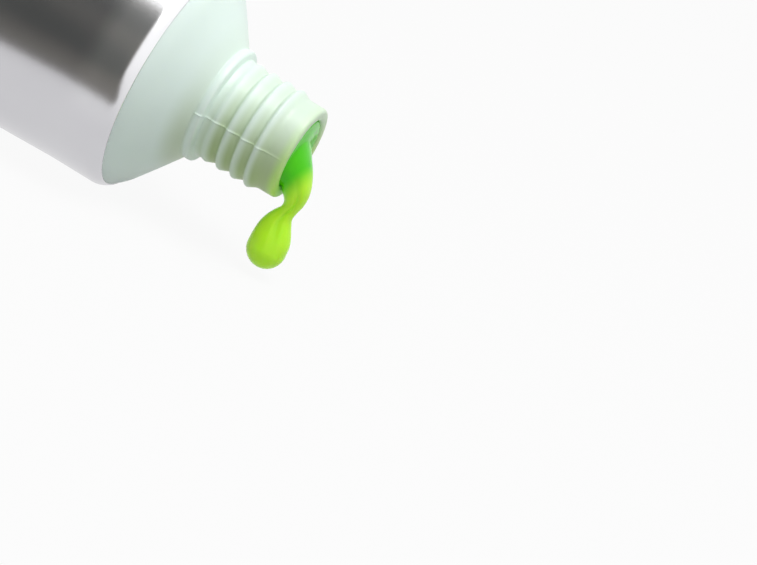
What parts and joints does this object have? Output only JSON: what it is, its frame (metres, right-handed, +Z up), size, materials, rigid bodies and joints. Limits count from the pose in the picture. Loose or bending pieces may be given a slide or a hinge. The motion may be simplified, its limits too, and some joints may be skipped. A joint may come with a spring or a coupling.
{
  "type": "toothpaste tube",
  "caption": "Squeezed-open laminate tube lying on its side, with a white ridged nozzle, a crimped end seal and a strand of green gel.",
  "frame": {"origin": "middle of the flat on the underside, below the tube's axis, 15 mm behind the shoulder moulding's skirt", "axes": "+X along the tube's axis towards the mouth, +Z up from the surface the tube lies on"},
  "size_m": [0.1378, 0.044, 0.028],
  "materials": {
    "sleeve_laminate": "satin",
    "shoulder_plastic": "satin",
    "green_gel": "gloss"
  },
  "bodies": {
    "root": {"sleeve": "sleeve_laminate", "shoulder": "shoulder_plastic", "toothpaste_gel": "green_gel"}
  },
  "joints": []
}
